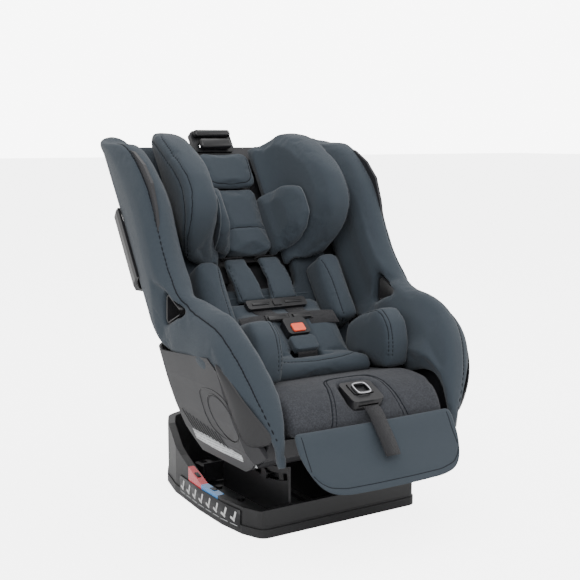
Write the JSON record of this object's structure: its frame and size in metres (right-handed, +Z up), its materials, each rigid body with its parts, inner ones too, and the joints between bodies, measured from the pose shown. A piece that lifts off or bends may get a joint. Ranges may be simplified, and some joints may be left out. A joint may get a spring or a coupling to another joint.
{
  "type": "convertible child car seat",
  "caption": "Convertible child car seat: reclining padded shell on a fixed base, sliding headrest, five-point harness and tilt-out cup holders.",
  "frame": {"origin": "middle of the base's underside", "axes": "+Z up, the child faces -Y, +X to the right as seen from the front; symmetric about X = 0"},
  "size_m": [0.482, 0.6067, 0.6319],
  "materials": {
    "cover_fabric": "smooth knit, slate blue-grey",
    "cushion_fabric": "coarse melange knit, dark grey",
    "shell_plastic": "fine textured moulding",
    "trim_plastic": "satin moulding",
    "webbing": "woven webbing",
    "steel": "zinc plated",
    "red_lens": "gloss",
    "blue_lens": "gloss",
    "release_red": "satin",
    "grip_rubber": "matt"
  },
  "bodies": {
    "base": {"base_shell": "shell_plastic", "base_feet": "grip_rubber", "indicator_red": "red_lens", "indicator_blue": "blue_lens", "rails": "steel", "rail_screws": "steel", "index_rack": "steel", "anchor_strap": "webbing", "anchor_connectors": "trim_plastic"},
    "seat": {"seat_shell": "shell_plastic", "side_cover_left": "cover_fabric", "side_cover_right": "cover_fabric", "arm_cover_left": "cover_fabric", "arm_cover_right": "cover_fabric", "side_panel_left": "shell_plastic", "side_panel_right": "shell_plastic", "keels": "trim_plastic", "guide_pins": "steel", "steel_frame": "steel", "guide_rods": "steel", "back_pad": "cover_fabric", "seat_cushion": "cushion_fabric", "apron": "cover_fabric", "insert_pad": "cover_fabric", "insert_shoulder_left": "cover_fabric", "insert_shoulder_right": "cover_fabric", "insert_hips": "cover_fabric", "crotch_strap": "webbing", "crotch_pad": "cover_fabric", "buckle_body": "trim_plastic", "buckle_tongues": "steel", "lap_straps": "webbing", "shoulder_straps": "webbing", "adjuster_housing": "trim_plastic", "pull_strap": "webbing", "belt_guides": "trim_plastic", "impact_pods": "shell_plastic", "tether_strap": "webbing", "tether_hook": "steel", "lever_pin": "steel"},
    "headrest": {"headrest_shell": "shell_plastic", "headrest_tab": "cover_fabric", "pillow": "cover_fabric", "pillow_wing_left": "cover_fabric", "pillow_wing_right": "cover_fabric", "headrest_wing_left": "cover_fabric", "headrest_wing_right": "cover_fabric", "shoulder_pad_left": "cover_fabric", "shoulder_pad_right": "cover_fabric", "harness_loops": "webbing"},
    "handle": {"headrest_handle": "trim_plastic"},
    "buckle_press": {"buckle_button": "release_red"},
    "clip": {"chest_clip": "trim_plastic"},
    "clip_press": {"chest_clip_button": "trim_plastic"},
    "adjuster_press": {"adjuster_button": "steel"},
    "lever": {"recline_lever": "trim_plastic"},
    "pawl": {"recline_pawl": "steel"},
    "cup_left": {"cup_holder_left": "shell_plastic"},
    "cup_right": {"cup_holder_right": "shell_plastic"}
  },
  "joints": [
    {"name": "recline", "type": "hinge", "parent": "base", "child": "seat", "pos_m": [0, -0.11, 0.36], "axis": [-1, 0, 0], "range_deg": [-14, 12]},
    {"name": "headrest_slide", "type": "slide", "parent": "seat", "child": "headrest", "axis": [0, 0.5505, 0.8348], "range_m": [0, 0.15]},
    {"name": "handle_squeeze", "type": "slide", "parent": "headrest", "child": "handle", "axis": [0, 0.5505, 0.8348], "range_m": [0, 0.007], "stiffness_N_per_m": 500},
    {"name": "buckle_press", "type": "slide", "parent": "seat", "child": "buckle_press", "axis": [0, 0.6402, -0.7682], "range_m": [0, 0.004], "stiffness_N_per_m": 1200},
    {"name": "clip_slide", "type": "slide", "parent": "seat", "child": "clip", "axis": [0, 0.7682, 0.6402], "range_m": [-0.004, 0.01]},
    {"name": "clip_press", "type": "slide", "parent": "clip", "child": "clip_press", "axis": [0, 0.6402, -0.7682], "range_m": [0, 0.0025], "stiffness_N_per_m": 600},
    {"name": "adjuster_press", "type": "hinge", "parent": "seat", "child": "adjuster_press", "pos_m": [0, -0.2375, 0.2337], "axis": [1, 0, 0], "range_deg": [0, 7], "stiffness_Nm_per_rad": 0.8},
    {"name": "lever_pull", "type": "hinge", "parent": "seat", "child": "lever", "pos_m": [0, -0.222, 0.116], "axis": [-1, 0, 0], "range_deg": [0, 12], "stiffness_Nm_per_rad": 1, "springref_deg": -5.73},
    {"name": "pawl_lift", "type": "slide", "parent": "seat", "child": "pawl", "axis": [0, 0, 1], "range_m": [0, 0.0055], "stiffness_N_per_m": 5, "springref_m": 0.07},
    {"name": "cup_left_tilt", "type": "hinge", "parent": "seat", "child": "cup_left", "pos_m": [-0.206, -0.204, 0.172], "axis": [0, -1, 0], "range_deg": [0, 30]},
    {"name": "cup_right_tilt", "type": "hinge", "parent": "seat", "child": "cup_right", "pos_m": [0.206, -0.204, 0.172], "axis": [0, 1, 0], "range_deg": [0, 30]}
  ],
  "couplings": [
    {"joint": "pawl_lift", "follows": "lever_pull", "m_per_rad": 0.0238}
  ]
}
